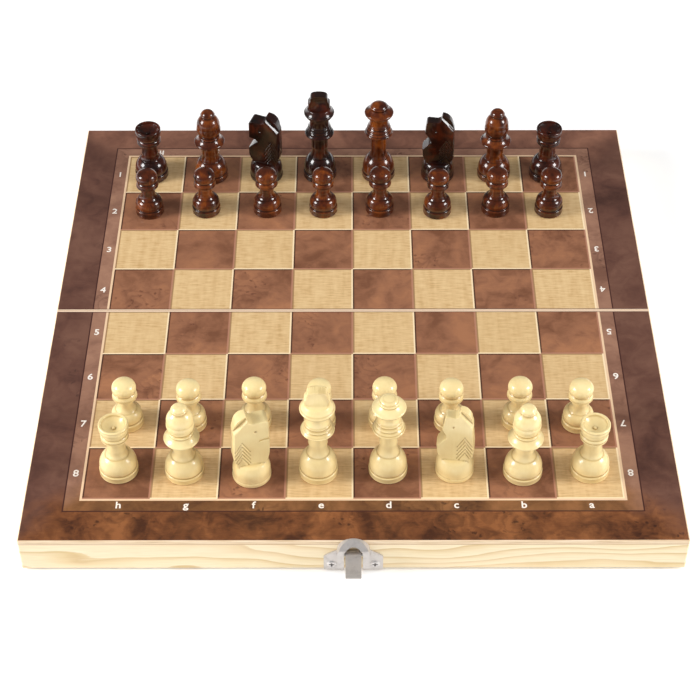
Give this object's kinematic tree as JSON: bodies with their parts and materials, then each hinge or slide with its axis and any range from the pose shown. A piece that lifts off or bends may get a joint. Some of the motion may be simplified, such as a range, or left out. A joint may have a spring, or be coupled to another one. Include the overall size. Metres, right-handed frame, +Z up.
{
  "type": "folding games case with chess set",
  "caption": "Two-part hinged flat wooden games case with a chess board on its outer face, a swinging clasp, and turned chess men standing on the board.",
  "frame": {"origin": "middle of the hinge line, on the plane of the two halves' rims, with the case open and its board up", "axes": "+X along the hinge line to the right as seen from the clasp side, +Y from the clasp side to the dark men, +Z up out of the board"},
  "size_m": [0.34, 0.3643, 0.0844],
  "materials": {
    "board_veneer": "satin printed burl and maple veneer squares",
    "pale_pine": "planed pale pine, thin clear coat",
    "lining_board": "thin lacquered board",
    "hinge_steel": "plated steel",
    "pin_steel": "bright drawn steel",
    "nickel_sheet": "satin nickel plate on pressed steel",
    "screw_metal": "bright nickel plate",
    "cream_lacquer": "clear gloss lacquer on pale wood",
    "black_brown_lacquer": "dark brown gloss lacquer",
    "amber_brown_lacquer": "amber brown gloss lacquer"
  },
  "bodies": {
    "front_half": {"front_panel": "board_veneer", "front_clasp_rail": "pale_pine", "front_hinge_rail": "pale_pine", "front_left_rail": "pale_pine", "front_right_rail": "pale_pine", "front_liner": "lining_board", "left_hinge_front_leaf": "hinge_steel", "right_hinge_front_leaf": "hinge_steel", "left_hinge_pin": "pin_steel", "right_hinge_pin": "pin_steel", "hinge_screws_front": "screw_metal", "clasp_plate": "nickel_sheet", "clasp_pin": "pin_steel", "clasp_screws": "screw_metal"},
    "rear_half": {"rear_panel": "board_veneer", "rear_clasp_rail": "pale_pine", "rear_hinge_rail": "pale_pine", "rear_left_rail": "pale_pine", "rear_right_rail": "pale_pine", "rear_liner": "lining_board", "left_hinge_rear_leaf": "hinge_steel", "right_hinge_rear_leaf": "hinge_steel", "hinge_screws_rear": "screw_metal", "catch_plate": "nickel_sheet", "catch_screws": "screw_metal"},
    "clasp_tongue": {"clasp_tongue": "nickel_sheet"},
    "light_rook_h": {"light_rook_h": "cream_lacquer"},
    "light_bishop_g": {"light_bishop_g": "cream_lacquer"},
    "light_knight_f": {"light_knight_f": "cream_lacquer"},
    "light_king": {"light_king": "cream_lacquer"},
    "light_queen": {"light_queen": "cream_lacquer"},
    "light_knight_c": {"light_knight_c": "cream_lacquer"},
    "light_bishop_b": {"light_bishop_b": "cream_lacquer"},
    "light_rook_a": {"light_rook_a": "cream_lacquer"},
    "light_pawn_h": {"light_pawn_h": "cream_lacquer"},
    "light_pawn_g": {"light_pawn_g": "cream_lacquer"},
    "light_pawn_f": {"light_pawn_f": "cream_lacquer"},
    "light_pawn_e": {"light_pawn_e": "cream_lacquer"},
    "light_pawn_d": {"light_pawn_d": "cream_lacquer"},
    "light_pawn_c": {"light_pawn_c": "cream_lacquer"},
    "light_pawn_b": {"light_pawn_b": "cream_lacquer"},
    "light_pawn_a": {"light_pawn_a": "cream_lacquer"},
    "dark_rook_h": {"dark_rook_h": "black_brown_lacquer"},
    "dark_bishop_g": {"dark_bishop_g": "amber_brown_lacquer"},
    "dark_knight_f": {"dark_knight_f": "black_brown_lacquer"},
    "dark_king": {"dark_king": "black_brown_lacquer"},
    "dark_queen": {"dark_queen": "amber_brown_lacquer"},
    "dark_knight_c": {"dark_knight_c": "black_brown_lacquer"},
    "dark_bishop_b": {"dark_bishop_b": "amber_brown_lacquer"},
    "dark_rook_a": {"dark_rook_a": "black_brown_lacquer"},
    "dark_pawn_h": {"dark_pawn_h": "amber_brown_lacquer"},
    "dark_pawn_g": {"dark_pawn_g": "amber_brown_lacquer"},
    "dark_pawn_f": {"dark_pawn_f": "amber_brown_lacquer"},
    "dark_pawn_e": {"dark_pawn_e": "amber_brown_lacquer"},
    "dark_pawn_d": {"dark_pawn_d": "amber_brown_lacquer"},
    "dark_pawn_c": {"dark_pawn_c": "amber_brown_lacquer"},
    "dark_pawn_b": {"dark_pawn_b": "amber_brown_lacquer"},
    "dark_pawn_a": {"dark_pawn_a": "amber_brown_lacquer"}
  },
  "joints": [
    {"name": "case_fold", "type": "hinge", "parent": "front_half", "child": "rear_half", "pos_m": [0, 0, 0], "axis": [-1, 0, 0], "range_deg": [0, 180]},
    {"name": "tongue_swing", "type": "hinge", "parent": "front_half", "child": "clasp_tongue", "pos_m": [0, -0.1724, 0.0143], "axis": [1, 0, 0], "range_deg": [-20, 96.5]},
    {"name": "lift_light_rook_h", "type": "slide", "parent": "front_half", "child": "light_rook_h", "axis": [0, 0, 1], "range_m": [0, 0.08]},
    {"name": "lift_light_bishop_g", "type": "slide", "parent": "front_half", "child": "light_bishop_g", "axis": [0, 0, 1], "range_m": [0, 0.08]},
    {"name": "lift_light_knight_f", "type": "slide", "parent": "front_half", "child": "light_knight_f", "axis": [0, 0, 1], "range_m": [0, 0.08]},
    {"name": "lift_light_king", "type": "slide", "parent": "front_half", "child": "light_king", "axis": [0, 0, 1], "range_m": [0, 0.08]},
    {"name": "lift_light_queen", "type": "slide", "parent": "front_half", "child": "light_queen", "axis": [0, 0, 1], "range_m": [0, 0.08]},
    {"name": "lift_light_knight_c", "type": "slide", "parent": "front_half", "child": "light_knight_c", "axis": [0, 0, 1], "range_m": [0, 0.08]},
    {"name": "lift_light_bishop_b", "type": "slide", "parent": "front_half", "child": "light_bishop_b", "axis": [0, 0, 1], "range_m": [0, 0.08]},
    {"name": "lift_light_rook_a", "type": "slide", "parent": "front_half", "child": "light_rook_a", "axis": [0, 0, 1], "range_m": [0, 0.08]},
    {"name": "lift_light_pawn_h", "type": "slide", "parent": "front_half", "child": "light_pawn_h", "axis": [0, 0, 1], "range_m": [0, 0.08]},
    {"name": "lift_light_pawn_g", "type": "slide", "parent": "front_half", "child": "light_pawn_g", "axis": [0, 0, 1], "range_m": [0, 0.08]},
    {"name": "lift_light_pawn_f", "type": "slide", "parent": "front_half", "child": "light_pawn_f", "axis": [0, 0, 1], "range_m": [0, 0.08]},
    {"name": "lift_light_pawn_e", "type": "slide", "parent": "front_half", "child": "light_pawn_e", "axis": [0, 0, 1], "range_m": [0, 0.08]},
    {"name": "lift_light_pawn_d", "type": "slide", "parent": "front_half", "child": "light_pawn_d", "axis": [0, 0, 1], "range_m": [0, 0.08]},
    {"name": "lift_light_pawn_c", "type": "slide", "parent": "front_half", "child": "light_pawn_c", "axis": [0, 0, 1], "range_m": [0, 0.08]},
    {"name": "lift_light_pawn_b", "type": "slide", "parent": "front_half", "child": "light_pawn_b", "axis": [0, 0, 1], "range_m": [0, 0.08]},
    {"name": "lift_light_pawn_a", "type": "slide", "parent": "front_half", "child": "light_pawn_a", "axis": [0, 0, 1], "range_m": [0, 0.08]},
    {"name": "lift_dark_rook_h", "type": "slide", "parent": "rear_half", "child": "dark_rook_h", "axis": [0, 0, 1], "range_m": [0, 0.08]},
    {"name": "lift_dark_bishop_g", "type": "slide", "parent": "rear_half", "child": "dark_bishop_g", "axis": [0, 0, 1], "range_m": [0, 0.08]},
    {"name": "lift_dark_knight_f", "type": "slide", "parent": "rear_half", "child": "dark_knight_f", "axis": [0, 0, 1], "range_m": [0, 0.08]},
    {"name": "lift_dark_king", "type": "slide", "parent": "rear_half", "child": "dark_king", "axis": [0, 0, 1], "range_m": [0, 0.08]},
    {"name": "lift_dark_queen", "type": "slide", "parent": "rear_half", "child": "dark_queen", "axis": [0, 0, 1], "range_m": [0, 0.08]},
    {"name": "lift_dark_knight_c", "type": "slide", "parent": "rear_half", "child": "dark_knight_c", "axis": [0, 0, 1], "range_m": [0, 0.08]},
    {"name": "lift_dark_bishop_b", "type": "slide", "parent": "rear_half", "child": "dark_bishop_b", "axis": [0, 0, 1], "range_m": [0, 0.08]},
    {"name": "lift_dark_rook_a", "type": "slide", "parent": "rear_half", "child": "dark_rook_a", "axis": [0, 0, 1], "range_m": [0, 0.08]},
    {"name": "lift_dark_pawn_h", "type": "slide", "parent": "rear_half", "child": "dark_pawn_h", "axis": [0, 0, 1], "range_m": [0, 0.08]},
    {"name": "lift_dark_pawn_g", "type": "slide", "parent": "rear_half", "child": "dark_pawn_g", "axis": [0, 0, 1], "range_m": [0, 0.08]},
    {"name": "lift_dark_pawn_f", "type": "slide", "parent": "rear_half", "child": "dark_pawn_f", "axis": [0, 0, 1], "range_m": [0, 0.08]},
    {"name": "lift_dark_pawn_e", "type": "slide", "parent": "rear_half", "child": "dark_pawn_e", "axis": [0, 0, 1], "range_m": [0, 0.08]},
    {"name": "lift_dark_pawn_d", "type": "slide", "parent": "rear_half", "child": "dark_pawn_d", "axis": [0, 0, 1], "range_m": [0, 0.08]},
    {"name": "lift_dark_pawn_c", "type": "slide", "parent": "rear_half", "child": "dark_pawn_c", "axis": [0, 0, 1], "range_m": [0, 0.08]},
    {"name": "lift_dark_pawn_b", "type": "slide", "parent": "rear_half", "child": "dark_pawn_b", "axis": [0, 0, 1], "range_m": [0, 0.08]},
    {"name": "lift_dark_pawn_a", "type": "slide", "parent": "rear_half", "child": "dark_pawn_a", "axis": [0, 0, 1], "range_m": [0, 0.08]}
  ]
}
